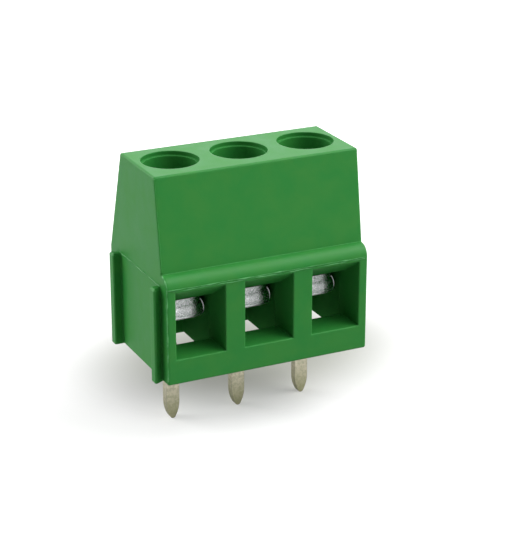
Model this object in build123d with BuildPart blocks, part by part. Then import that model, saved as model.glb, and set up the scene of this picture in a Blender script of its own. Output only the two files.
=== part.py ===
"""Three-pole rising-clamp terminal block for a printed circuit board, in millimetres.

X runs along the row of poles, +Y towards the back and +Z up. The origin is on the board's
surface, in the middle of the row of solder pins. Depths are measured back from the lower
front face of the housing.
"""
import os
from math import asin, degrees

from build123d import *

os.makedirs("parts", exist_ok=True)

# Row of poles
poles = 3
pitch = 5.08
end_relief = 0.07            # each end face stands this far inside the half-pitch plane

# Housing outline
housing_height = 14.18
lower_depth = 10.1
pins_depth = 5.45            # solder pins, behind the lower front face
shoulder_height = 6.82       # where the lower front face rolls into the shoulder
shoulder_radius = 0.87
top_front_depth = 1.80
top_rear_depth = 7.79
rear_ledge_height = 7.16
rear_ledge_drop = 0.36
rear_ledge_inset = 0.12
corner_radius = 0.16

# Interlock on the two ends
rib_reach = 0.60             # how far a rib stands out of the left end face
rib_front_depth = 0.66
rib_width = 0.84
rib_undercut = 0.34
rib_height = 6.80
rib_corner = 0.12
interlock_middle = 4.80      # the front and rear ribs mirror about this depth
interlock_clearance = 0.05

# Wire entries in the front
entry_width = 3.62
entry_sill_height = 1.80
entry_front_height = 6.61
entry_throat_height = 5.20
entry_throat_depth = 2.15
entry_edge_radius = 0.08     # round the front edges of each entry
sill_relief = 0.45           # the sill ends this far in front of the chamber

# Clamp chambers, open at the bottom
chamber_width = 4.16
chamber_front_gap = 0.10     # in front of the cage
chamber_back_gap = 0.60      # between the cage and the contact's leg
chamber_lead_in = 0.12       # chamfer round the open bottom
cage_head_room = 0.15        # over the raised cage, under the web that carries the screw head
web_thickness = 0.80

# Clamp screw
screw_depth = 4.90
screw_diameter = 2.50
head_diameter = 3.80
head_thickness = 1.50
head_edge = 0.20
slot_width = 0.80
slot_depth = 0.75
tip_chamfer = 0.35
seat_gap = 0.02
web_clearance = 0.075        # round the shank in the web
head_clearance = 0.10        # round the head in its pocket
head_end_play = 0.28
lip_overlap = 0.06           # the driver bore is this much tighter than the head, so it traps it
mouth_diameter = 4.00
mouth_depth = 0.30
slot_angles = (24, -38, 71)

# Clamp cage, drawn in its raised and closed position
cage_clearance = 0.13
cage_length = 3.80
cage_corner = 1.30
cage_floor_height = 3.25
cage_floor_thickness = 1.45
cage_floor_round = 1.05        # round the floor's upper edge, over which the wire slides
cage_yoke_inset = 0.20         # the yoke stands in from the floor's outline
cage_window_clearance = 0.06   # between the shank and each side wall of the window
cage_window_height = 3.30
cage_top_thickness = 1.25
cage_edge = 0.15
thread_clearance = 0.05

# Contact strip: current bar, rear leg, foot and solder pin, bent from one strip
strip_thickness = 0.60
bar_width = 2.00
bar_gap = 0.10               # between the current bar and the raised cage floor
bar_setback = 0.20           # its nose stands this far behind the chamber's front
bar_nose_radius = 0.40
bend_radius = 0.60           # on the middle of the strip
pin_width = 1.00
pin_bend_radius = 0.45
pin_length = 5.10
pin_point_length = 1.30
pin_tip_radius = 0.22
neck_top_height = 2.20
neck_bottom_height = 1.50


def back(depth):
    """Y of the plane that lies this far behind the lower front face."""
    return depth - pins_depth


# Values that follow from the sizes above
housing_length = poles * pitch - 2 * end_relief
left_end = -housing_length / 2
right_end = housing_length / 2
pole_centres = [(pole - (poles - 1) / 2) * pitch for pole in range(poles)]
screw_y = back(screw_depth)
chamber_front_depth = screw_depth - cage_length / 2 - chamber_front_gap
chamber_back_depth = screw_depth + cage_length / 2 + chamber_back_gap + strip_thickness
sill_depth = chamber_front_depth - sill_relief
bar_front_depth = chamber_front_depth + bar_setback
cage_height = cage_floor_thickness + cage_window_height + cage_top_thickness
web_height = cage_floor_height + cage_height + cage_head_room
web_top = web_height + web_thickness
head_pocket_height = seat_gap + head_thickness + head_end_play
bar_underside = cage_floor_height + cage_floor_thickness + bar_gap
bar_middle = bar_underside + strip_thickness / 2
screw_tip = bar_underside + strip_thickness + seat_gap
leg_middle_depth = chamber_back_depth - strip_thickness / 2
groove_depth = rib_reach - 2 * end_relief + interlock_clearance
undercut_slope = rib_undercut / rib_reach
groove_mouth_depth = (rib_front_depth + rib_undercut - 2 * end_relief * undercut_slope
                      - interlock_clearance)
# The pin's flank is an arc that runs tangent from its straight side into the rounded tip
flank_drop = pin_point_length - pin_tip_radius
flank_radius = ((flank_drop ** 2 + (pin_width / 2) ** 2 - pin_tip_radius ** 2)
                / (pin_width - 2 * pin_tip_radius))
flank_angle = degrees(asin(flank_drop / (flank_radius - pin_tip_radius)))


# Housing: one moulding, extruded from its side view and then cored
with BuildPart() as housing:
    with BuildSketch(Plane.YZ):
        with BuildLine():
            lower_front = Line((back(0), 0), (back(0), shoulder_height))
            shoulder = JernArc(lower_front @ 1, (0, 1), shoulder_radius, -90)
            Polyline(
                shoulder @ 1,
                (back(top_front_depth), housing_height),
                (back(top_rear_depth), housing_height),
                (back(lower_depth - rear_ledge_inset), rear_ledge_height),
                (back(lower_depth), rear_ledge_height - rear_ledge_drop),
                (back(lower_depth), 0),
                lower_front @ 0,
            )
        make_face()
    extrude(amount=housing_length / 2, both=True)
    end_faces = housing.faces().filter_by(Axis.X)
    long_edges = housing.edges().filter_by(Axis.X).group_by(Axis.Z)
    fillet(end_faces.edges() + long_edges[0] + long_edges[-1], corner_radius)

    # Dovetail ribs on the left end
    with BuildSketch(Plane.XY) as rib_plan:
        with BuildLine():
            Polyline(
                (left_end + rib_reach, back(rib_front_depth + rib_undercut)),
                (left_end, back(rib_front_depth + rib_undercut)),
                (left_end - rib_reach, back(rib_front_depth)),
                (left_end - rib_reach, back(rib_front_depth + rib_width)),
                (left_end + rib_reach, back(rib_front_depth + rib_width)),
                close=True,
            )
        make_face()
        fillet(rib_plan.vertices().group_by(Axis.X)[0], rib_corner)
        mirror(about=Plane.XZ.offset(-back(interlock_middle)))
    extrude(amount=rib_height)
    rib_tops = housing.faces().filter_by(Axis.Z).filter_by_position(
        Axis.Z, rib_height - corner_radius, rib_height + corner_radius)
    outer_rib_edges = rib_tops.edges().filter_by_position(
        Axis.X, left_end - rib_reach - corner_radius, left_end - rib_reach + corner_radius)
    chamfer(outer_rib_edges, rib_corner)

    # Matching grooves in the right end, open at the bottom so that blocks slide together
    with BuildSketch(Plane.XY) as groove_plan:
        with BuildLine():
            Polyline(
                (right_end + groove_depth, back(groove_mouth_depth)),
                (right_end, back(groove_mouth_depth)),
                (right_end - groove_depth,
                 back(groove_mouth_depth - groove_depth * undercut_slope)),
                (right_end - groove_depth,
                 back(rib_front_depth + rib_width + interlock_clearance)),
                (right_end + groove_depth,
                 back(rib_front_depth + rib_width + interlock_clearance)),
                close=True,
            )
        make_face()
        mirror(about=Plane.XZ.offset(-back(interlock_middle)))
    extrude(amount=rib_height + interlock_clearance, mode=Mode.SUBTRACT)

    # Wire entries: straight sides, level sill and a ceiling that funnels the wire down
    for centre in pole_centres:
        with BuildSketch(Plane.YZ.offset(centre)):
            with BuildLine():
                Polyline(
                    (back(-shoulder_radius), entry_sill_height),
                    (back(chamber_front_depth), entry_sill_height),
                    (back(chamber_front_depth), entry_throat_height),
                    (back(entry_throat_depth), entry_throat_height),
                    (back(0), entry_front_height),
                    (back(-shoulder_radius), entry_front_height),
                    close=True,
                )
            make_face()
        extrude(amount=entry_width / 2, both=True, mode=Mode.SUBTRACT)
    lower_front_face = housing.faces().filter_by(Axis.Y).sort_by(Axis.Y)[0]
    fillet(lower_front_face.inner_wires().edges(), entry_edge_radius)

    # Clamp chambers, and the relief under each sill
    with BuildSketch(Plane.XY):
        for centre in pole_centres:
            with Locations((centre, back((chamber_front_depth + chamber_back_depth) / 2))):
                Rectangle(chamber_width, chamber_back_depth - chamber_front_depth)
    extrude(amount=web_height, mode=Mode.SUBTRACT)
    with BuildSketch(Plane.XY):
        for centre in pole_centres:
            with Locations((centre, back((chamber_front_depth + chamber_back_depth) / 2))):
                Rectangle(chamber_width + 2 * chamber_lead_in,
                          chamber_back_depth - chamber_front_depth + 2 * chamber_lead_in)
    extrude(amount=chamber_lead_in, taper=45, mode=Mode.SUBTRACT)
    with BuildSketch(Plane.XY):
        for centre in pole_centres:
            with Locations((centre, back((sill_depth + chamber_front_depth) / 2))):
                Rectangle(entry_width, chamber_front_depth - sill_depth)
    extrude(amount=entry_sill_height, mode=Mode.SUBTRACT)

    # Stepped screw shafts: mouth, driver bore, head pocket and web hole
    head_pocket_radius = head_diameter / 2 + head_clearance
    driver_bore_radius = head_diameter / 2 - lip_overlap
    web_hole_radius = screw_diameter / 2 + web_clearance
    for centre in pole_centres:
        with BuildSketch(Plane.XZ.offset(-screw_y)):
            with BuildLine():
                Polyline(
                    (centre, web_height),
                    (centre + web_hole_radius, web_height),
                    (centre + web_hole_radius, web_top),
                    (centre + head_pocket_radius, web_top),
                    (centre + head_pocket_radius, web_top + head_pocket_height),
                    (centre + driver_bore_radius, web_top + head_pocket_height),
                    (centre + driver_bore_radius, housing_height - mouth_depth),
                    (centre + mouth_diameter / 2, housing_height - mouth_depth),
                    (centre + mouth_diameter / 2, housing_height),
                    (centre, housing_height),
                    close=True,
                )
            make_face()
        revolve(axis=Axis((centre, screw_y, 0), (0, 0, 1)), mode=Mode.SUBTRACT)

# Clamp screw on its own axis: shank, pointed tip and slotted cheese head
with BuildPart() as clamp_screw:
    with BuildSketch(Plane.XZ):
        with BuildLine():
            Polyline(
                (0, screw_tip),
                (screw_diameter / 2 - tip_chamfer, screw_tip),
                (screw_diameter / 2, screw_tip + tip_chamfer),
                (screw_diameter / 2, web_top + seat_gap),
                (head_diameter / 2, web_top + seat_gap),
                (head_diameter / 2, web_top + seat_gap + head_thickness),
                (0, web_top + seat_gap + head_thickness),
                close=True,
            )
        make_face()
    revolve(axis=Axis.Z)
    chamfer(clamp_screw.edges().sort_by(Axis.Z)[-1], head_edge)
    with BuildSketch(Plane.XY.offset(web_top + seat_gap + head_thickness)):
        Rectangle(2 * head_diameter, slot_width)
    extrude(amount=-slot_depth, mode=Mode.SUBTRACT)

# Clamp cage on the screw's axis: domed floor, and a yoke with a wire window and a tapped top
with BuildPart() as clamp_cage:
    cage_width = chamber_width - 2 * cage_clearance
    with BuildSketch(Plane.XY.offset(cage_floor_height)):
        RectangleRounded(cage_width, cage_length, cage_corner)
    extrude(amount=cage_floor_thickness)
    fillet(clamp_cage.faces().sort_by(Axis.Z)[-1].edges(), cage_floor_round)
    chamfer(clamp_cage.faces().sort_by(Axis.Z)[0].edges(), cage_edge)
    with BuildSketch(Plane.XY.offset(cage_floor_height + cage_edge)):
        RectangleRounded(cage_width - 2 * cage_yoke_inset, cage_length - 2 * cage_yoke_inset,
                         cage_corner - cage_yoke_inset)
    extrude(amount=cage_height - cage_edge)
    chamfer(clamp_cage.faces().sort_by(Axis.Z)[-1].edges(), cage_edge)
    window_floor = cage_floor_height + cage_floor_thickness
    with BuildSketch(Plane.XZ):
        with Locations((0, window_floor + cage_window_height / 2)):
            Rectangle(screw_diameter + 2 * cage_window_clearance, cage_window_height)
    extrude(amount=cage_length, both=True, mode=Mode.SUBTRACT)
    with BuildSketch(Plane.XY.offset(cage_floor_height + cage_height)):
        Circle(screw_diameter / 2 + thread_clearance)
    extrude(amount=-cage_top_thickness, mode=Mode.SUBTRACT)

# Contact of one pole: the strip's side view, then its front view with the narrow pin
with BuildPart() as contact:
    with BuildSketch(Plane.YZ):
        with BuildLine():
            FilletPolyline(
                (back(bar_front_depth), bar_middle),
                (back(leg_middle_depth), bar_middle),
                (back(leg_middle_depth), strip_thickness / 2),
                (0, strip_thickness / 2),
                (0, -pin_length),
                radius=[bend_radius, bend_radius, pin_bend_radius],
            )
        trace(line_width=strip_thickness)
    extrude(amount=bar_width / 2, both=True)
    with BuildSketch(Plane.XZ):
        with BuildLine():
            right_side = Polyline(
                (0, bar_middle + strip_thickness),
                (bar_width / 2, bar_middle + strip_thickness),
                (bar_width / 2, neck_top_height),
                (pin_width / 2, neck_bottom_height),
                (pin_width / 2, pin_point_length - pin_length),
            )
            flank = JernArc(right_side @ 1, (0, -1), flank_radius, -flank_angle)
            tip = JernArc(flank @ 1, flank % 1, pin_tip_radius, flank_angle - 90)
            Line(tip @ 1, right_side @ 0)
        make_face()
        mirror(about=Plane.YZ)
    extrude(amount=lower_depth, both=True, mode=Mode.INTERSECT)
    bar_nose = contact.edges().filter_by(Axis.Z).filter_by_position(
        Axis.Y, back(bar_front_depth) - seat_gap, back(bar_front_depth) + seat_gap)
    fillet(bar_nose, bar_nose_radius)


def write(piece, name, place=Location()):
    """Label one finished piece at its place and write it as parts/NAME.step."""
    placed = piece.moved(place)
    placed.label = name
    export_step(placed, f"parts/{name}.step")


write(housing.part, "housing")
for number, centre in enumerate(pole_centres, start=1):
    slot_angle = slot_angles[(number - 1) % len(slot_angles)]
    write(contact.part, f"contact_{number}", Location((centre, 0, 0)))
    write(clamp_cage.part, f"clamp_cage_{number}", Location((centre, screw_y, 0)))
    write(clamp_screw.part, f"clamp_screw_{number}",
          Location((centre, screw_y, 0), (0, 0, slot_angle)))
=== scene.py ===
"""Looks of a three-pole rising-clamp terminal block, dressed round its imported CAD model.

Everything is in metres in the model's own frame: X along the poles, +Y to the back, +Z up out
of the circuit board, with the origin on the board's surface in the middle of the pin row.
"""

import logging
import math
from dataclasses import dataclass
from enum import Enum
from typing import Callable, Sequence

import bmesh
import bpy
from mathutils import Matrix, Vector


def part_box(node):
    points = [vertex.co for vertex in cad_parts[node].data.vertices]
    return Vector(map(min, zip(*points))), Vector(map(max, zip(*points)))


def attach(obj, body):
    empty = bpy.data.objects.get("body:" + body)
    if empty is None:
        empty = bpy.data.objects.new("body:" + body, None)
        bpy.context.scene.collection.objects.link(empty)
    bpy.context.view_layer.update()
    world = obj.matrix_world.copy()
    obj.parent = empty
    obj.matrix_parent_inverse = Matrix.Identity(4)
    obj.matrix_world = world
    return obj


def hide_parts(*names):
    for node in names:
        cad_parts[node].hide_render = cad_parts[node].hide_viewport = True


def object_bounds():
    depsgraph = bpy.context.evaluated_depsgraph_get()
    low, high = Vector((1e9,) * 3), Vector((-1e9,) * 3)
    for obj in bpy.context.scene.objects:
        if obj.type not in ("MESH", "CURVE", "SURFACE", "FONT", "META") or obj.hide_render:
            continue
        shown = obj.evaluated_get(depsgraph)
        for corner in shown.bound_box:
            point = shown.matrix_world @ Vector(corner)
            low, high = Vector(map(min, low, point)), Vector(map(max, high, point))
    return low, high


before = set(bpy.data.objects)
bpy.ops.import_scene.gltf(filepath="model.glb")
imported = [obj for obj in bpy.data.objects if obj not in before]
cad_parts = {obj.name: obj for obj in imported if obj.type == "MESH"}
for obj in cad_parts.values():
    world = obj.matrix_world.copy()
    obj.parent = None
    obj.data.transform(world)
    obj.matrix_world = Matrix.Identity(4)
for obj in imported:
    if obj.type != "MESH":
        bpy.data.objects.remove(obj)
cad_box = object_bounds()

LOG = logging.getLogger("terminal_block")
MM = 0.001
POLES = (1, 2, 3)
PITCH = 5.08 * MM

# Numbers of a colour Mix node's sockets: its factor and two colours, and its result
MIX_INPUTS = (0, 6, 7)
MIX_RESULT = 2
# How far the noise goes from its middle of 0.5 before one colour shows alone, at a contrast of 1
PATCH_REACH = 0.15
# The noise values at which the roughness is lowest and highest
ROUGHNESS_REACH = (0.3, 0.7)
# Where a speck begins and ends to fade, in grain sizes from its middle
SPECK_EDGE = (0.10, 0.22)
# The cosine between the rounded and the true normal where the edge colour begins, and where it is
# full; on the moulding that colour is a painted highlight
EDGE_FACING = (0.995, 0.86)
# The share of open surroundings where a wall begins to count as deep, and where it wholly does;
# deep walls get painted shade
OPENNESS = (0.80, 0.40)

Colour = tuple[float, float, float]
Point = tuple[float, float, float]
Piece = bpy.types.Object


class Grain(Enum):
    """The directions in which a surface's fine relief runs, as stretch along X, Y and Z."""

    EVEN = (1.0, 1.0, 1.0)
    SHEARED = (1.0, 1.0, 0.65)
    TURNED = (1.0, 0.0, 0.0)


# Working with Blender's own modelling tools


def deselect() -> None:
    """Leave nothing selected and nothing active."""
    bpy.ops.object.select_all(action="DESELECT")
    bpy.context.view_layer.objects.active = None


def pick(piece: Piece) -> None:
    """Select one piece alone and make it active.

    Args:
        piece: The piece that the next operators act on.
    """
    deselect()
    piece.select_set(True)
    bpy.context.view_layer.objects.active = piece


def settle(piece: Piece, name: str) -> Piece:
    """Name a piece and put its place into its mesh, so that its object sits at the origin.

    Args:
        piece: The piece just made.
        name: Its name in the finished model.

    Returns:
        The same piece.
    """
    pick(piece)
    bpy.ops.object.transform_apply(location=True, rotation=True, scale=True)
    piece.name = name
    piece.data.name = name
    return piece


def finish_with(piece: Piece, kind: str, **values: object) -> None:
    """Add one modifier to a piece and apply it.

    Args:
        piece: The piece to finish.
        kind: The modifier's type, in Blender's words.
        values: The modifier's settings.
    """
    pick(piece)
    modifier = piece.modifiers.new(kind.title(), kind)
    for key, value in values.items():
        setattr(modifier, key, value)
    bpy.ops.object.modifier_apply(modifier=modifier.name)


def cut(piece: Piece, cutter: Piece) -> None:
    """Take one shape out of another with an exact Boolean, and delete the cutter.

    Args:
        piece: The piece that loses material.
        cutter: The closed shape that is taken out of it.
    """
    finish_with(piece, "BOOLEAN", operation="DIFFERENCE", object=cutter, solver="EXACT")
    bpy.data.objects.remove(cutter)


def face_outward(piece: Piece) -> None:
    """Turn all faces of a closed piece outwards.

    Args:
        piece: The piece.
    """
    pick(piece)
    bpy.ops.object.mode_set(mode="EDIT")
    bpy.ops.mesh.select_all(action="SELECT")
    bpy.ops.mesh.normals_make_consistent(inside=False)
    bpy.ops.object.mode_set(mode="OBJECT")


def select_edges(mesh: bmesh.types.BMesh, test: Callable[[bmesh.types.BMEdge], bool]) -> None:
    """Select only the edges of an edit mesh that pass a test.

    Args:
        mesh: The edit mesh.
        test: Says whether an edge is selected.
    """
    for group in (mesh.verts, mesh.edges, mesh.faces):
        for element in group:
            element.select = False
    for edge in mesh.edges:
        if test(edge):
            edge.select_set(True)


def box_between(low: Point, high: Point) -> Piece:
    """Add a box from its lowest to its highest corner.

    Args:
        low: The lowest corner.
        high: The highest corner.

    Returns:
        The box.
    """
    deselect()
    centre = [(a + b) / 2 for a, b in zip(low, high)]
    extent = [b - a for a, b in zip(low, high)]
    bpy.ops.mesh.primitive_cube_add(size=1, location=centre, scale=extent)
    return bpy.context.object


def smooth(piece: Piece, degrees: float) -> None:
    """Shade a piece smooth, apart from the edges that turn by more than an angle.

    Args:
        piece: The finished piece.
        degrees: The angle past which an edge stays sharp.
    """
    pick(piece)
    bpy.ops.object.shade_smooth_by_angle(angle=math.radians(degrees))


def turned(centre: Point, stations: Sequence[tuple[float, float]], segments: int) -> Piece:
    """Turn a closed solid on an upright axis, as on a lathe, by extruding a disc upwards.

    Args:
        centre: A point on the axis; its height is not used.
        stations: Radius and height of each step of the outline, from the bottom up.
        segments: Number of sides of the circle.

    Returns:
        The solid.
    """
    deselect()
    radius, height = stations[0]
    bpy.ops.mesh.primitive_circle_add(vertices=segments, radius=radius, fill_type="NGON",
                                      location=(centre[0], centre[1], height))
    piece = bpy.context.object
    bpy.ops.object.mode_set(mode="EDIT")
    bpy.ops.mesh.select_all(action="SELECT")
    for next_radius, next_height in stations[1:]:
        bpy.ops.mesh.extrude_region_move(
            TRANSFORM_OT_translate={"value": (0, 0, next_height - height)})
        scale = next_radius / radius
        bpy.ops.transform.resize(value=(scale, scale, 1),
                                 center_override=(centre[0], centre[1], next_height))
        radius, height = next_radius, next_height
    bpy.ops.object.mode_set(mode="OBJECT")
    face_outward(piece)
    return piece


@dataclass(frozen=True)
class Thread:
    """A 60 degree screw thread ridge on an upright axis; its shares are parts of the pitch."""

    root_radius: float
    crest_radius: float
    pitch: float
    low: float
    high: float
    fade_turns: float = 0.8
    steps: int = 40
    embedded_share: float = 0.05
    crest_share: float = 0.16
    root_share: float = 0.86

    def ridge(self, centre: Point) -> Piece:
        """Wind the ridge as a closed right-handed helix.

        Args:
            centre: A point on the thread's axis; its height is not used.

        Returns:
            The ridge, embedded a little in the wall that carries it.
        """
        outward = math.copysign(1.0, self.crest_radius - self.root_radius)
        root = self.root_radius - outward * self.embedded_share * self.pitch
        deselect()
        bpy.ops.mesh.primitive_plane_add(size=1, rotation=(math.pi / 2, 0, 0))
        piece = settle(bpy.context.object, "thread")
        bpy.ops.object.mode_set(mode="EDIT")
        edit = bmesh.from_edit_mesh(piece.data)
        for vertex in edit.verts:
            at_crest = vertex.co.x > 0
            width = self.pitch * (self.crest_share if at_crest else self.root_share)
            vertex.co.z = self.low + self.pitch / 2 + math.copysign(width / 2, vertex.co.z)
            vertex.co.x = self.crest_radius if at_crest else root
        bmesh.update_edit_mesh(piece.data)
        bpy.ops.mesh.select_all(action="SELECT")
        bpy.ops.mesh.delete(type="ONLY_FACE")
        bpy.ops.object.mode_set(mode="OBJECT")
        turns = max(1, round((self.high - self.low) / self.pitch) - 1)
        finish_with(piece, "SCREW", angle=2 * math.pi, screw_offset=self.pitch,
                    iterations=turns, steps=self.steps, render_steps=self.steps)
        top = self.low + (turns + 1) * self.pitch
        for vertex in piece.data.vertices:
            ends = min(vertex.co.z - self.low, top - vertex.co.z)
            keep = min(1.0, max(0.0, ends / (self.fade_turns * self.pitch)))
            radius = math.hypot(vertex.co.x, vertex.co.y)
            wanted = root + (radius - root) * keep
            vertex.co.x *= wanted / radius
            vertex.co.y *= wanted / radius
        piece.data.transform(Matrix.Translation((centre[0], centre[1], 0)))
        bpy.ops.object.mode_set(mode="EDIT")
        bpy.ops.mesh.select_all(action="SELECT")
        bpy.ops.mesh.fill_holes(sides=4)
        bpy.ops.object.mode_set(mode="OBJECT")
        face_outward(piece)
        return piece


def joined(main: Piece, *others: Piece) -> Piece:
    """Join pieces into the first one.

    Args:
        main: The piece that the others become part of.
        others: The pieces that are joined to it.

    Returns:
        The first piece.
    """
    pick(main)
    for other in others:
        other.select_set(True)
    bpy.ops.object.join()
    return main


@dataclass(frozen=True)
class Bead:
    """A thin square bar with broken edges, laid along a route on the surface of a piece.

    It wanders sideways and swells by two waves each, whose rates are in radians for each mm.
    """

    width: float
    thickness: float
    wander: float = 0.0
    swell: float = 0.0
    phase: float = 0.0
    step: float = 0.10 * MM
    wander_rates: tuple[float, float] = (1.7, 5.3)
    second_wander: float = 0.6
    swell_rates: tuple[float, float] = (1.3, 3.7)
    broken_share: float = 0.3
    sharp_angle: float = 60.0

    def lay(self, name: str, route: Sequence[Point], outward: Point | None) -> Piece:
        """Model the bead straight, then carry each of its vertices to its place on the route.

        Args:
            name: The piece's name.
            route: The points that the middle of the bead passes through.
            outward: The way its thickness points. With None it points to the right of a level
                route, as seen from above.

        Returns:
            The bead.
        """
        points = [Vector(point) for point in route]
        lengths = [(b - a).length for a, b in zip(points, points[1:])]
        total = sum(lengths)
        piece = settle(box_between((0, -self.width / 2, -self.thickness / 2),
                                   (total, self.width / 2, self.thickness / 2)), name)
        bpy.ops.object.mode_set(mode="EDIT")
        edit = bmesh.from_edit_mesh(piece.data)
        select_edges(edit, lambda e: abs(e.verts[0].co.x - e.verts[1].co.x) > total / 2)
        bmesh.update_edit_mesh(piece.data)
        bpy.ops.mesh.subdivide(number_cuts=round(total / self.step))
        bpy.ops.object.mode_set(mode="OBJECT")
        finish_with(piece, "BEVEL", segments=2,
                    width=self.broken_share * min(self.width, self.thickness))
        slow_wander, quick_wander = self.wander_rates
        slow_swell, quick_swell = self.swell_rates
        for vertex in piece.data.vertices:
            along, side, out = vertex.co
            turn = along / MM
            wave = (math.sin(slow_wander * turn + self.phase)
                    + self.second_wander * math.sin(quick_wander * turn + 2 * self.phase))
            swell = 1 + (self.swell * math.sin(slow_swell * turn + self.phase)
                         * math.sin(quick_swell * turn))
            rest, number = along, 0
            while number < len(lengths) - 1 and rest > lengths[number]:
                rest -= lengths[number]
                number += 1
            ahead = (points[number + 1] - points[number]).normalized()
            up = Vector(outward).normalized() if outward else ahead.cross(Vector((0, 0, 1)))
            across = up.cross(ahead).normalized()
            vertex.co = (points[number] + ahead * rest + up * out * swell
                         + across * (side * swell + self.wander * wave))
        face_outward(piece)
        smooth(piece, self.sharp_angle)
        return piece


def arc(centre: tuple[float, float], radius: float, start: float, end: float,
        steps: int = 8) -> list[tuple[float, float]]:
    """Give points on an arc in a plane.

    Args:
        centre: The arc's centre.
        radius: Its radius.
        start: The angle of its first point, in degrees.
        end: The angle of its last point, in degrees.
        steps: How many stretches it is divided into.

    Returns:
        The points in order.
    """
    angles = [math.radians(start + (end - start) * step / steps) for step in range(steps + 1)]
    return [(centre[0] + radius * math.cos(angle), centre[1] + radius * math.sin(angle))
            for angle in angles]


# Materials


class Wiring:
    """A shader node tree while it is being wired up."""

    def __init__(self, tree: bpy.types.NodeTree) -> None:
        """Start on a tree.

        Args:
            tree: The material's or group's node tree.
        """
        self.tree = tree

    def add(self, kind: str, inputs: dict[str, object] | None = None,
            **settings: object) -> bpy.types.Node:
        """Add a node, set its properties and feed its inputs.

        Args:
            kind: The node's type without the words ShaderNode, or NodeGroupInput and the like.
            inputs: For each input's name or number, a value or the socket that feeds it.
            settings: The node's properties.

        Returns:
            The node.
        """
        full = kind if kind.startswith("Node") else "ShaderNode" + kind
        node = self.tree.nodes.new(full)
        for key, value in settings.items():
            setattr(node, key, value)
        for key, value in (inputs or {}).items():
            if isinstance(value, bpy.types.NodeSocket):
                self.tree.links.new(value, node.inputs[key])
            else:
                node.inputs[key].default_value = value
        return node

    def math(self, operation: str, *values: object, clamp: bool = False) -> bpy.types.NodeSocket:
        """Add a Math node.

        Args:
            operation: What the node does, in Blender's words.
            values: Its inputs in order, as numbers or sockets.
            clamp: Whether the result is kept between 0 and 1.

        Returns:
            The socket with the result.
        """
        node = self.add("Math", dict(enumerate(values)), operation=operation, use_clamp=clamp)
        return node.outputs[0]

    def mix(self, factor: object, first: object, second: object) -> bpy.types.NodeSocket:
        """Mix two colours.

        Args:
            factor: How much of the second colour shows.
            first: The first colour, or its socket.
            second: The second colour, or its socket.

        Returns:
            The socket with the mixed colour.
        """
        inputs = dict(zip(MIX_INPUTS, (factor, first, second)))
        return self.add("Mix", inputs, data_type="RGBA").outputs[MIX_RESULT]


def new_group(name: str, inputs: dict[str, tuple[str, float]],
              outputs: dict[str, str]) -> tuple[Wiring, bpy.types.Node, bpy.types.Node]:
    """Start a shader node group with named sockets.

    Args:
        name: The group's name.
        inputs: For each input, its socket type and its first value.
        outputs: For each output, its socket type.

    Returns:
        The wiring, the node with the inputs and the node that takes the outputs.
    """
    tree = bpy.data.node_groups.new(name, "ShaderNodeTree")
    for key, (kind, value) in inputs.items():
        socket = tree.interface.new_socket(name=key, in_out="INPUT", socket_type=kind)
        if kind == "NodeSocketFloat":
            socket.default_value = value
    for key, kind in outputs.items():
        tree.interface.new_socket(name=key, in_out="OUTPUT", socket_type=kind)
    wiring = Wiring(tree)
    return wiring, wiring.add("NodeGroupInput"), wiring.add("NodeGroupOutput")


def relief_group() -> bpy.types.NodeTree:
    """Build the group for fine relief and for larger patches, used by every material.

    Returns:
        The group: Vector, Stretch, Grain size and Patch size in metres go in; Height, Patches
        and Specks come out.
    """
    wiring, given, result = new_group(
        "relief",
        {"Vector": ("NodeSocketVector", 0.0), "Grain size": ("NodeSocketFloat", 0.1 * MM),
         "Patch size": ("NodeSocketFloat", 2.0 * MM), "Stretch": ("NodeSocketVector", 0.0)},
        {"Height": "NodeSocketFloat", "Patches": "NodeSocketFloat", "Specks": "NodeSocketFloat"})
    stretched = wiring.add("VectorMath", {0: given.outputs["Vector"], 1: given.outputs["Stretch"]},
                           operation="MULTIPLY").outputs[0]
    fine = wiring.math("DIVIDE", 1.0, given.outputs["Grain size"])
    broad = wiring.math("DIVIDE", 1.0, given.outputs["Patch size"])
    grain = wiring.add("TexNoise", {"Vector": stretched, "Scale": fine, "Detail": 3.0,
                                    "Roughness": 0.6})
    patches = wiring.add("TexNoise", {"Vector": stretched, "Scale": broad,
                                      "Detail": 4.0, "Roughness": 0.55, "Distortion": 0.4})
    specks = wiring.add("TexVoronoi", {"Vector": stretched, "Scale": fine})
    speck = wiring.add("MapRange", {
        "Value": specks.outputs["Distance"], "From Min": SPECK_EDGE[0],
        "From Max": SPECK_EDGE[1], "To Min": 1.0, "To Max": 0.0})
    wiring.tree.links.new(grain.outputs["Fac"], result.inputs["Height"])
    wiring.tree.links.new(patches.outputs["Fac"], result.inputs["Patches"])
    wiring.tree.links.new(speck.outputs["Result"], result.inputs["Specks"])
    return wiring.tree


def edge_group() -> bpy.types.NodeTree:
    """Build the group for softly rounded edges and the edge mask, used by every material; on the
    moulding the mask lays a painted highlight.

    Returns:
        The group: Radius goes in, the rounded Normal and the edge Mask come out.
    """
    wiring, given, result = new_group(
        "edges", {"Radius": ("NodeSocketFloat", 0.05 * MM)},
        {"Normal": "NodeSocketVector", "Mask": "NodeSocketFloat"})
    rounded = wiring.add("Bevel", {"Radius": given.outputs["Radius"]}, samples=6)
    plain = wiring.add("NewGeometry")
    facing = wiring.add("VectorMath", {0: rounded.outputs[0], 1: plain.outputs["Normal"]},
                        operation="DOT_PRODUCT").outputs["Value"]
    mask = wiring.add("MapRange", {"Value": facing, "From Min": EDGE_FACING[0],
                                   "From Max": EDGE_FACING[1], "To Min": 0.0, "To Max": 1.0})
    wiring.tree.links.new(rounded.outputs[0], result.inputs["Normal"])
    wiring.tree.links.new(mask.outputs["Result"], result.inputs["Mask"])
    return wiring.tree


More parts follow.
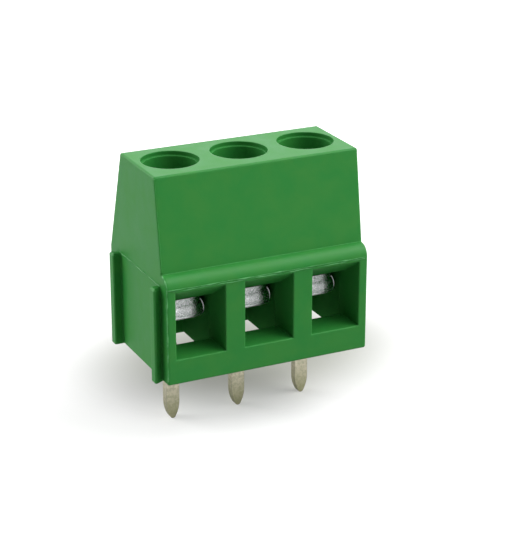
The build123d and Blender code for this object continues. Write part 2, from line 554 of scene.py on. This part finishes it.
def hollow_shade_group() -> bpy.types.NodeTree:
    """Build the group that tells deep places from open ones, for the painted shade and the duller
    roughness of deep walls.

    Returns:
        The group: Reach in metres goes in, and the Mask comes out, 1 in a deep hollow.
    """
    wiring, given, result = new_group(
        "hollows", {"Reach": ("NodeSocketFloat", 3.0 * MM)}, {"Mask": "NodeSocketFloat"})
    openness = wiring.add("AmbientOcclusion", {"Distance": given.outputs["Reach"]}, samples=8)
    mask = wiring.add("MapRange", {"Value": openness.outputs["AO"], "From Min": OPENNESS[0],
                                   "From Max": OPENNESS[1], "To Min": 0.0, "To Max": 1.0})
    wiring.tree.links.new(mask.outputs["Result"], result.inputs["Mask"])
    return wiring.tree


def pole_group(axis_y: float) -> bpy.types.NodeTree:
    """Build the group that gives distance and angle round the nearest pole's screw axis.

    Args:
        axis_y: Y of the screw axes.

    Returns:
        The group: Object coordinates go in, and (radius, angle, height) comes out.
    """
    wiring, given, result = new_group(
        "round_the_pole", {"Vector": ("NodeSocketVector", 0.0)}, {"Vector": "NodeSocketVector"})
    parts = wiring.add("SeparateXYZ", {0: given.outputs["Vector"]})
    x = wiring.math("WRAP", parts.outputs["X"], PITCH / 2, -PITCH / 2)
    y = wiring.math("SUBTRACT", parts.outputs["Y"], axis_y)
    radius = wiring.math("SQRT", wiring.math("ADD", wiring.math("MULTIPLY", x, x),
                                             wiring.math("MULTIPLY", y, y)))
    angle = wiring.math("ARCTAN2", y, x)
    out = wiring.add("CombineXYZ", {0: radius, 1: wiring.math("MULTIPLY", angle, MM),
                                    2: parts.outputs["Z"]})
    wiring.tree.links.new(out.outputs[0], result.inputs["Vector"])
    return wiring.tree


@dataclass(frozen=True)
class Groups:
    """The shader node groups that the materials share."""

    relief: bpy.types.NodeTree
    edges: bpy.types.NodeTree
    hollows: bpy.types.NodeTree
    pole: bpy.types.NodeTree


@dataclass(frozen=True)
class HeightShade:
    """Painted shade: a second, darker colour that takes over along the height of a piece."""

    colour: Colour
    start: float
    end: float
    share: float


@dataclass(frozen=True)
class DeepWallShadeAndDullness:
    """How a finish changes in deep hollows: painted shade in a darker colour, and a duller
    roughness.
    """

    colour: Colour
    painted_shade_share: float
    roughness: float
    reach: float


@dataclass(frozen=True)
class Finish:
    """One surface finish, made as a procedural material on Object coordinates.

    The sizes, the relief and the edge radius are in metres, and the shares run from 0 to 1.
    """

    name: str
    colour: Colour
    patch_colour: Colour
    speck_colour: Colour
    edge_colour: Colour
    metallic: float
    roughness: float
    roughness_spread: float
    grain: Grain
    grain_size: float
    patch_size: float
    relief: float
    speck_share: float
    edge_share: float
    edge_radius: float
    gloss: float = 0.5
    contrast: float = 1.0
    fade: HeightShade | None = None
    deep_wall_shade_and_dullness: DeepWallShadeAndDullness | None = None

    def material(self, groups: Groups) -> bpy.types.Material:
        """Wire up the material.

        Args:
            groups: The shared node groups.

        Returns:
            The material.
        """
        material = bpy.data.materials.new(self.name)
        material.use_nodes = True
        material.diffuse_color = (*self.colour, 1.0)
        wiring = Wiring(material.node_tree)
        shader = wiring.tree.nodes["Principled BSDF"]
        on_object = wiring.add("TexCoord").outputs["Object"]
        place = on_object
        if self.grain is Grain.TURNED:
            place = wiring.add("Group", {0: on_object}, node_tree=groups.pole).outputs[0]
        relief = wiring.add("Group", {
            "Vector": place, "Grain size": self.grain_size, "Patch size": self.patch_size,
            "Stretch": self.grain.value}, node_tree=groups.relief)
        edges = wiring.add("Group", {"Radius": self.edge_radius}, node_tree=groups.edges)
        reach = PATCH_REACH / self.contrast
        patchy = wiring.add("MapRange", {"Value": relief.outputs["Patches"],
                                         "From Min": 0.5 - reach, "From Max": 0.5 + reach})
        colour = wiring.mix(patchy.outputs["Result"], (*self.colour, 1), (*self.patch_colour, 1))
        # Painted shade: the colour darkens along the height, towards the pin tips
        if self.fade:
            height = wiring.add("SeparateXYZ", {0: on_object})
            height_shaded = wiring.add("MapRange", {"Value": height.outputs["Z"],
                                            "From Min": self.fade.start,
                                            "From Max": self.fade.end,
                                            "To Max": self.fade.share})
            colour = wiring.mix(height_shaded.outputs["Result"], colour, (*self.fade.colour, 1))
        speck = wiring.math("MULTIPLY", relief.outputs["Specks"], self.speck_share)
        colour = wiring.mix(speck, colour, (*self.speck_colour, 1))
        # Edges take the edge colour; on the green moulding this lighter colour is a painted
        # highlight along the edges
        edge_tint_and_highlight = wiring.math("MULTIPLY", edges.outputs["Mask"], self.edge_share)
        colour = wiring.mix(edge_tint_and_highlight, colour, (*self.edge_colour, 1))
        rough = wiring.add("MapRange", {
            "Value": relief.outputs["Patches"],
            "From Min": ROUGHNESS_REACH[0], "From Max": ROUGHNESS_REACH[1],
            "To Min": self.roughness - self.roughness_spread,
            "To Max": self.roughness + self.roughness_spread}).outputs["Result"]
        # Painted shade: walls deep in hollows darken towards the shade colour, and turn duller
        if self.deep_wall_shade_and_dullness:
            deep = wiring.add("Group", {"Reach": self.deep_wall_shade_and_dullness.reach},
                              node_tree=groups.hollows)
            share = wiring.math("MULTIPLY", deep.outputs["Mask"], self.deep_wall_shade_and_dullness.painted_shade_share)
            colour = wiring.mix(share, colour, (*self.deep_wall_shade_and_dullness.colour, 1))
            rough = wiring.add("MapRange", {"Value": deep.outputs["Mask"], "To Min": rough,
                                            "To Max": self.deep_wall_shade_and_dullness.roughness})
            rough = rough.outputs["Result"]
        wiring.tree.links.new(colour, shader.inputs["Base Color"])
        wiring.tree.links.new(rough, shader.inputs["Roughness"])
        bump = wiring.add("Bump", {"Height": relief.outputs["Height"],
                                   "Distance": self.relief, "Strength": 1.0,
                                   "Normal": edges.outputs["Normal"]})
        wiring.tree.links.new(bump.outputs["Normal"], shader.inputs["Normal"])
        shader.inputs["Metallic"].default_value = self.metallic
        shader.inputs["Specular IOR Level"].default_value = self.gloss
        return material


# The moulding's lighter edge colour is a painted highlight along its edges
GREEN_POLYAMIDE = Finish(
    name="moulded_green_polyamide", colour=(0.022, 0.228, 0.036),
    patch_colour=(0.034, 0.236, 0.037), speck_colour=(0.040, 0.300, 0.060),
    edge_colour=(0.085, 0.400, 0.110), metallic=0.0,
    roughness=0.44, roughness_spread=0.06, grain=Grain.EVEN, grain_size=0.09 * MM,
    patch_size=1.6 * MM, relief=0.005 * MM, speck_share=0.12, edge_share=0.75,
    edge_radius=0.11 * MM, gloss=0.22,
    # The deep-wall colour is painted shade inside the entries and the bores
    deep_wall_shade_and_dullness=DeepWallShadeAndDullness(colour=(0.008, 0.150, 0.016), painted_shade_share=0.6, roughness=0.95,
                         reach=8.0 * MM))
# Lighter green of the flash: stress whitening and a painted highlight
WHITENED_AND_HIGHLIT_POLYAMIDE = Finish(
    name="stressed_flash_and_painted_highlight", colour=(0.085, 0.380, 0.110), patch_colour=(0.026, 0.245, 0.042),
    speck_colour=(0.160, 0.500, 0.190), edge_colour=(0.160, 0.500, 0.190), metallic=0.0,
    roughness=0.38, roughness_spread=0.06, grain=Grain.EVEN, grain_size=0.05 * MM,
    patch_size=0.7 * MM, relief=0.004 * MM, speck_share=0.3, edge_share=0.4,
    edge_radius=0.02 * MM, gloss=0.40, contrast=1.8)
# The tin darkens towards the pin tips as painted shade
DULL_TIN = Finish(
    name="dull_tin", colour=(0.78, 0.72, 0.58), patch_colour=(0.56, 0.54, 0.41),
    speck_colour=(0.26, 0.24, 0.17), edge_colour=(0.42, 0.39, 0.33), metallic=1.0,
    roughness=0.45, roughness_spread=0.12, grain=Grain.EVEN, grain_size=0.11 * MM,
    patch_size=0.24 * MM, relief=0.018 * MM, speck_share=0.55, edge_share=0.75,
    edge_radius=0.07 * MM, contrast=1.6,
    fade=HeightShade(colour=(0.36, 0.36, 0.19), start=-2.2 * MM, end=-4.7 * MM, share=0.75))
ZINC_CAGE = Finish(
    name="sheared_zinc", colour=(0.97, 0.98, 1.00), patch_colour=(0.60, 0.62, 0.63),
    speck_colour=(0.04, 0.04, 0.04), edge_colour=(0.95, 0.95, 0.95), metallic=1.0,
    roughness=0.25, roughness_spread=0.06, grain=Grain.SHEARED, grain_size=0.060 * MM,
    patch_size=0.08 * MM, relief=0.028 * MM, speck_share=0.90, edge_share=0.6,
    edge_radius=0.05 * MM, contrast=1.1)
ZINC_RIM = Finish(
    name="rolled_zinc", colour=(0.93, 0.94, 0.96), patch_colour=(0.75, 0.76, 0.78),
    speck_colour=(0.20, 0.20, 0.20), edge_colour=(0.95, 0.95, 0.95), metallic=1.0,
    roughness=0.32, roughness_spread=0.08, grain=Grain.EVEN, grain_size=0.06 * MM,
    patch_size=0.20 * MM, relief=0.006 * MM, speck_share=0.3, edge_share=0.3,
    edge_radius=0.02 * MM)
ZINC_SCREW = Finish(
    name="turned_zinc", colour=(0.66, 0.66, 0.69), patch_colour=(0.58, 0.59, 0.61),
    speck_colour=(0.30, 0.30, 0.31), edge_colour=(0.78, 0.78, 0.80), metallic=1.0,
    roughness=0.30, roughness_spread=0.08, grain=Grain.TURNED, grain_size=0.07 * MM,
    patch_size=0.6 * MM, relief=0.006 * MM, speck_share=0.15, edge_share=0.3,
    edge_radius=0.03 * MM)


# Sub-assemblies


@dataclass
class Housing:
    """The green moulding: the CAD node, with its mould's flash, lighter by stress whitening and by
    a painted highlight, and its crisp upper edge.
    """

    finish: bpy.types.Material
    flash_finish: bpy.types.Material
    parting_height: float = 6.85 * MM
    second_line_drop: float = 0.11 * MM
    line_end_gap: float = 0.12 * MM
    second_line_gaps: tuple[float, float] = (0.48 * MM, 0.24 * MM)
    end_line_front: float = 1.1 * MM
    end_line_rear: float = 8.3 * MM
    corner_foot: float = 0.30 * MM
    corner_inset: float = 0.035 * MM
    corner_arc: tuple[float, float] = (180.0, 100.0)
    rib_reach: float = 0.60 * MM
    shoulder_height: float = 6.82 * MM
    shoulder_radius: float = 0.87 * MM
    top_front_depth: float = 1.80 * MM
    first_line: Bead = Bead(0.05 * MM, 0.08 * MM, 0.010 * MM, 0.85, 0.7)
    second_line: Bead = Bead(0.05 * MM, 0.08 * MM, 0.012 * MM, 0.90, 3.6)
    end_line: Bead = Bead(0.055 * MM, 0.09 * MM, 0.016 * MM, 0.6, 1.9)
    corner_line: Bead = Bead(0.09 * MM, 0.09 * MM, 0.02 * MM, 0.4, 0.2)
    crisp_edge: Bead = Bead(0.13 * MM, 0.13 * MM, 0.004 * MM, 0.05, 0.9)
    crisp_edge_foot: float = 0.15 * MM
    crisp_edge_drop: float = 0.10 * MM

    def upper_edge(self) -> Piece:
        """Lay a crisp edge over the rounding where the upper front meets the left end.

        Returns:
            The edge.
        """
        low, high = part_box("housing")
        inset = self.crisp_edge.width / 2
        left, front = low.x + self.rib_reach + inset, low.y + inset
        foot = self.shoulder_height + self.shoulder_radius + self.crisp_edge_foot
        return self.crisp_edge.lay(
            "upper_edge",
            [(left, front + self.shoulder_radius, foot),
             (left, front + self.top_front_depth, high.z - self.crisp_edge_drop)], (-1, 0, 0))

    def flash(self) -> list[Piece]:
        """Lay the flash along the mould's parting lines and up the left front edge.

        Returns:
            The lines of flash.
        """
        low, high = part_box("housing")
        left, right, front = low.x + self.rib_reach, high.x, low.y
        gap, parting = self.line_end_gap, self.parting_height
        left_gap, right_gap = self.second_line_gaps
        second = parting - self.second_line_drop
        inset = self.corner_inset
        corner = [(front + inset, self.corner_foot),
                  *arc((front + self.shoulder_radius, self.shoulder_height),
                       self.shoulder_radius - inset, *self.corner_arc)]
        lines = [
            ("parting_flash_shoulder", self.first_line, (0, -1, 0),
             [(left + gap, front, parting), (right - gap, front, parting)]),
            ("parting_flash_entries", self.second_line, (0, -1, 0),
             [(left + left_gap, front, second), (right - right_gap, front, second)]),
            ("parting_flash_end", self.end_line, (-1, 0, 0),
             [(left, front + self.end_line_front, parting),
              (left, front + self.end_line_rear, parting)]),
            ("corner_flash", self.corner_line, (-1, 0, 0),
             [(left + inset, y, z) for y, z in corner]),
        ]
        return [bead.lay(name, route, outward) for name, bead, outward, route in lines]

    def build(self) -> list[Piece]:
        """Dress the moulding and add its flash.

        Returns:
            The added pieces.
        """
        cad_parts["housing"].material_slots[0].material = self.finish
        edge = self.upper_edge()
        edge.data.materials.append(self.finish)
        pieces = self.flash()
        # The flash's lighter green is stress whitening and a painted highlight along the lines
        for piece in pieces:
            piece.data.materials.append(self.flash_finish)
        pieces.append(edge)
        for piece in pieces:
            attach(piece, "housing")
        return pieces


@dataclass
class Contacts:
    """The three bent contact strips with their solder pins: CAD nodes in dull tin."""

    finish: bpy.types.Material

    def build(self) -> list[Piece]:
        """Dress the contacts.

        Returns:
            No added pieces.
        """
        for pole in POLES:
            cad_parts[f"contact_{pole}"].material_slots[0].material = self.finish
        return []


@dataclass
class ClampScrews:
    """The three slotted clamp screws, with their threads."""

    finish: bpy.types.Material
    root_radius: float = 1.00 * MM
    neck_radius: float = 1.24 * MM
    crest_radius: float = 1.25 * MM
    thread_pitch: float = 0.45 * MM
    thread_top: float = 9.30 * MM
    tip_radius: float = 0.85 * MM
    tip_length: float = 0.30 * MM
    head_thickness: float = 1.50 * MM
    head_edge: float = 0.28 * MM
    head_edge_steps: int = 6
    slot_width: float = 0.80 * MM
    slot_depth: float = 0.75 * MM
    slot_angles: tuple[float, float, float] = (24.0, -38.0, 71.0)
    burr: float = 0.03 * MM
    burr_angle: float = 50.0
    sharp_angle: float = 35.0
    segments: int = 72

    def screw(self, pole: int) -> Piece:
        """Model one screw.

        Args:
            pole: Number of the pole.

        Returns:
            The screw.
        """
        low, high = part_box(f"clamp_screw_{pole}")
        centre = (low + high) / 2
        head_radius = (high.x - low.x) / 2
        head_low = high.z - self.head_thickness
        rise = self.head_edge / 4
        edge = [(head_radius - self.head_edge * (1 - math.cos(turn)),
                 high.z - self.head_edge * (1 - math.sin(turn)))
                for turn in (math.radians(90 / self.head_edge_steps * step)
                             for step in range(self.head_edge_steps + 1))]
        piece = turned(centre, [
            (self.tip_radius, low.z), (self.root_radius, low.z + self.tip_length),
            (self.root_radius, self.thread_top), (self.neck_radius, self.thread_top + rise),
            (self.neck_radius, head_low), (head_radius - rise, head_low),
            (head_radius, head_low + rise), *edge], self.segments)
        slot = box_between(
            (centre.x - 2 * head_radius, centre.y - self.slot_width / 2, high.z - self.slot_depth),
            (centre.x + 2 * head_radius, centre.y + self.slot_width / 2, high.z + self.slot_depth))
        slot.rotation_euler.z = math.radians(self.slot_angles[pole - 1])
        cut(piece, slot)
        finish_with(piece, "BEVEL", width=self.burr, segments=2, limit_method="ANGLE",
                    angle_limit=math.radians(self.burr_angle))
        thread = Thread(self.root_radius, self.crest_radius, self.thread_pitch,
                        low.z + self.tip_length / 2, self.thread_top)
        piece = joined(piece, thread.ridge(centre))
        return settle(piece, f"threaded_clamp_screw_{pole}")

    def build(self) -> list[Piece]:
        """Model, dress and place the screws.

        Returns:
            The screws.
        """
        pieces = []
        for pole in POLES:
            piece = self.screw(pole)
            smooth(piece, self.sharp_angle)
            piece.data.materials.append(self.finish)
            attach(piece, f"screw_{pole}")
            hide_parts(f"clamp_screw_{pole}")
            pieces.append(piece)
        return pieces


@dataclass
class ClampCages:
    """The three rising cages in bright zinc, with the rims that the press has left on them."""

    finish: bpy.types.Material
    rim_finish: bpy.types.Material
    corner: float = 1.30 * MM
    rim: Bead = Bead(0.13 * MM, 0.07 * MM, 0.004 * MM, 0.15, 0.4)
    rim_height: float = 0.16 * MM
    burr: Bead = Bead(0.07 * MM, 0.07 * MM, 0.008 * MM, 0.3, 1.1)
    burr_angle: float = -28.0
    burr_outward: Point = (1.0, -0.5, 0.0)
    burr_length: float = 1.05 * MM
    burr_steps: int = 12
    straight_height: float = 0.40 * MM
    dome: float = 1.05 * MM

    def outline(self, pole: int) -> list[tuple[float, float]]:
        """Trace the cage's rounded outline from the middle of its back, against the clock.

        Args:
            pole: Number of the pole.

        Returns:
            Its points in X and Y.
        """
        low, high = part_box(f"clamp_cage_{pole}")
        middle = ((low.x + high.x) / 2, high.y)
        inset = self.corner
        points = [middle]
        for x, y, angle in ((low.x + inset, high.y - inset, 90),
                            (low.x + inset, low.y + inset, 180),
                            (high.x - inset, low.y + inset, 270),
                            (high.x - inset, high.y - inset, 360)):
            points += arc((x, y), self.corner, angle, angle + 90)
        return [*points, middle]

    def burr_route(self, corner: tuple[float, float], underside: float) -> list[Point]:
        """Trace the burr up the floor's side and over its dome.

        Args:
            corner: The centre of the outline's right front corner, in X and Y.
            underside: The height of the floor's underside.

        Returns:
            The points that the burr passes through.
        """
        route = []
        for step in range(self.burr_steps + 1):
            height = self.rim_height + self.burr_length * step / self.burr_steps
            rise = max(0.0, height - self.straight_height)
            inset = self.dome - math.sqrt(self.dome ** 2 - rise ** 2)
            x, y = arc(corner, self.corner - inset, self.burr_angle, 0)[0]
            route.append((x, y, underside + height))
        return route

    def build(self) -> list[Piece]:
        """Dress the cages, and lay the rim round each floor and the burr up its side.

        Returns:
            The rims and burrs.
        """
        pieces = []
        for pole in POLES:
            node = f"clamp_cage_{pole}"
            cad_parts[node].material_slots[0].material = self.finish
            low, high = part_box(node)
            height = low.z + self.rim_height
            pieces.append(self.rim.lay(f"cage_rim_{pole}",
                                       [(x, y, height) for x, y in self.outline(pole)], None))
            corner = (high.x - self.corner, low.y + self.corner)
            pieces.append(self.burr.lay(f"cage_burr_{pole}", self.burr_route(corner, low.z),
                                        self.burr_outward))
            for piece in pieces[-2:]:
                piece.data.materials.append(self.rim_finish)
                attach(piece, f"cage_{pole}")
        return pieces


# Studio


@dataclass(frozen=True)
class Softbox:
    """A square area lamp that points at the object; its angles are in degrees."""

    name: str
    azimuth: float
    elevation: float
    distance: float
    size: float
    radiance: float

    def build(self, target: Vector) -> None:
        """Hang the lamp.

        Args:
            target: The point that it faces.
        """
        lamp = bpy.data.lights.new(self.name, "AREA")
        lamp.shape = "SQUARE"
        lamp.size = self.size
        lamp.energy = self.radiance * math.pi * self.size ** 2
        holder = bpy.data.objects.new(self.name, lamp)
        bpy.context.scene.collection.objects.link(holder)
        away = direction(self.azimuth, self.elevation)
        holder.location = target + away * self.distance
        holder.rotation_mode = "QUATERNION"
        holder.rotation_quaternion = away.to_track_quat("Z", "Y")


def direction(azimuth: float, elevation: float) -> Vector:
    """Give the direction from the object to a viewer or lamp.

    Args:
        azimuth: Degrees round the object; 0 is in front, and 90 is on the right.
        elevation: Degrees above the horizon.

    Returns:
        The unit vector.
    """
    a, e = math.radians(azimuth), math.radians(elevation)
    return Vector((math.sin(a) * math.cos(e), -math.cos(a) * math.cos(e), math.sin(e)))


@dataclass
class Studio:
    """Pale floor, white surroundings, soft lamps and the camera of the photograph.

    Lens and sensor are in millimetres, the other lengths in metres and the angles in degrees.
    """

    floor_size: float = 1.2
    floor_roughness: float = 0.9
    floor_gloss: float = 0.1
    floor_colour: Colour = (0.50, 0.50, 0.50)
    # The shaded colour, the shade oval and the least glow paint a shadow on the floor
    shaded_colour: Colour = (0.33, 0.335, 0.30)
    mirror_glow: float = 0.20
    camera_glow: float = 0.60
    far_share: float = 5.0
    shade_centre: Point = (0.0045, 0.0080, 0.0)
    shade_size: Point = (0.017, 0.013, 1.0)
    shade_core: float = 0.3
    least_glow: float = 0.12
    sky: float = 0.05
    softboxes: tuple[Softbox, ...] = (
        Softbox("front_right", 60.0, 35.0, 0.30, 0.28, 3.25),
        Softbox("top_right", 90.0, 55.0, 0.30, 0.24, 1.1),
        Softbox("top_front", 30.0, 68.0, 0.30, 0.24, 2.3),
        Softbox("left_back", -130.0, 28.0, 0.30, 0.24, 4.3),
        Softbox("back", 154.0, 22.0, 0.30, 0.24, 0.8),
    )
    camera_place: Point = (-0.04898, -0.10542, 0.05028)
    camera_azimuth: float = -25.867
    camera_elevation: float = 21.354
    camera_roll: float = 0.085
    lens: float = 116.18
    sensor_width: float = 36.0
    clip: tuple[float, float] = (0.005, 10.0)

    def floor(self) -> None:
        """Lay the floor under the tips of the pins, with a painted shadow in an oval round and
        behind the block.
        """
        deselect()
        bpy.ops.mesh.primitive_plane_add(size=self.floor_size, location=(0, 0, cad_box[0].z))
        floor = settle(bpy.context.object, "floor")
        material = bpy.data.materials.new("pale_floor")
        material.use_nodes = True
        wiring = Wiring(material.node_tree)
        shader = wiring.tree.nodes["Principled BSDF"]
        shader.inputs["Roughness"].default_value = self.floor_roughness
        shader.inputs["Specular IOR Level"].default_value = self.floor_gloss
        shader.inputs["Emission Color"].default_value = (1, 1, 1, 1)
        # Painted shadow: in an oval round and behind the block the floor's colour darkens and its
        # glow drops, for camera and mirrored rays alike
        place = wiring.add("Mapping", {0: wiring.add("TexCoord").outputs["Object"],
                                       "Location": (*self.shade_centre[:2], cad_box[0].z),
                                       "Scale": self.shade_size}, vector_type="TEXTURE")
        away = wiring.add("VectorMath", {0: place.outputs[0]}, operation="LENGTH")
        shade = wiring.add("MapRange", {"Value": away.outputs["Value"],
                                        "From Min": self.shade_core},
                           interpolation_type="SMOOTHSTEP").outputs["Result"]
        colour = wiring.mix(shade, (*self.shaded_colour, 1), (*self.floor_colour, 1))
        wiring.tree.links.new(colour, shader.inputs["Base Color"])
        path = wiring.add("LightPath")
        mirror = wiring.math("MAXIMUM", path.outputs["Is Glossy Ray"],
                             path.outputs["Is Transmission Ray"])
        farther = wiring.add("MapRange", {"Value": away.outputs["Value"], "From Min": 1.0,
                                          "From Max": self.far_share,
                                          "To Min": self.camera_glow, "To Max": 1.0})
        seen = wiring.math("MAXIMUM", wiring.math("MULTIPLY", mirror, self.mirror_glow),
                           wiring.math("MULTIPLY", path.outputs["Is Camera Ray"],
                                       farther.outputs["Result"]))
        share = wiring.add("MapRange", {"Value": shade, "To Min": self.least_glow})
        glow = wiring.math("MULTIPLY", seen, share.outputs["Result"])
        wiring.tree.links.new(glow, shader.inputs["Emission Strength"])
        floor.data.materials.append(material)

    def surroundings(self) -> None:
        """Make the world white where it is seen and plain grey where it lights."""
        world = bpy.data.worlds.new("white_surroundings")
        bpy.context.scene.world = world
        world.use_nodes = True
        wiring = Wiring(world.node_tree)
        back = wiring.tree.nodes["Background"]
        back.inputs["Color"].default_value = (1, 1, 1, 1)
        path = wiring.add("LightPath")
        seen = wiring.math("MAXIMUM", path.outputs["Is Camera Ray"], wiring.math(
            "MAXIMUM", path.outputs["Is Glossy Ray"], path.outputs["Is Transmission Ray"]))
        strength = wiring.math("MAXIMUM", seen, self.sky)
        wiring.tree.links.new(strength, back.inputs["Strength"])

    def camera(self) -> None:
        """Set up the camera where the photograph was taken from."""
        data = bpy.data.cameras.new("photo_camera")
        camera = bpy.data.objects.new("photo_camera", data)
        bpy.context.scene.collection.objects.link(camera)
        data.sensor_width = self.sensor_width
        data.lens = self.lens
        data.clip_start, data.clip_end = self.clip
        back = direction(self.camera_azimuth, self.camera_elevation)
        turn = back.to_track_quat("Z", "Y").to_matrix().to_4x4()
        roll = Matrix.Rotation(math.radians(self.camera_roll), 4, "Z")
        camera.matrix_world = Matrix.Translation(self.camera_place) @ turn @ roll
        bpy.context.scene.camera = camera

    def build(self) -> None:
        """Set up the whole studio."""
        bpy.context.scene.view_settings.view_transform = "Standard"
        self.floor()
        self.surroundings()
        self.camera()
        centre = (cad_box[0] + cad_box[1]) / 2
        for softbox in self.softboxes:
            softbox.build(centre)


def main() -> None:
    """Dress the terminal block and set up its studio."""
    logging.basicConfig(level=logging.INFO, format="%(name)s: %(message)s")
    screw_low, screw_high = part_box("clamp_screw_2")
    groups = Groups(relief_group(), edge_group(), hollow_shade_group(),
                    pole_group((screw_low.y + screw_high.y) / 2))
    assemblies = (
        Housing(GREEN_POLYAMIDE.material(groups), WHITENED_AND_HIGHLIT_POLYAMIDE.material(groups)),
        Contacts(DULL_TIN.material(groups)),
        ClampCages(ZINC_CAGE.material(groups), ZINC_RIM.material(groups)),
        ClampScrews(ZINC_SCREW.material(groups)),
    )
    for assembly in assemblies:
        for piece in assembly.build():
            LOG.info("%s: %d faces", piece.name, len(piece.data.polygons))
    Studio().build()
    deselect()
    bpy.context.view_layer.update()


if __name__ == "__main__":
    main()
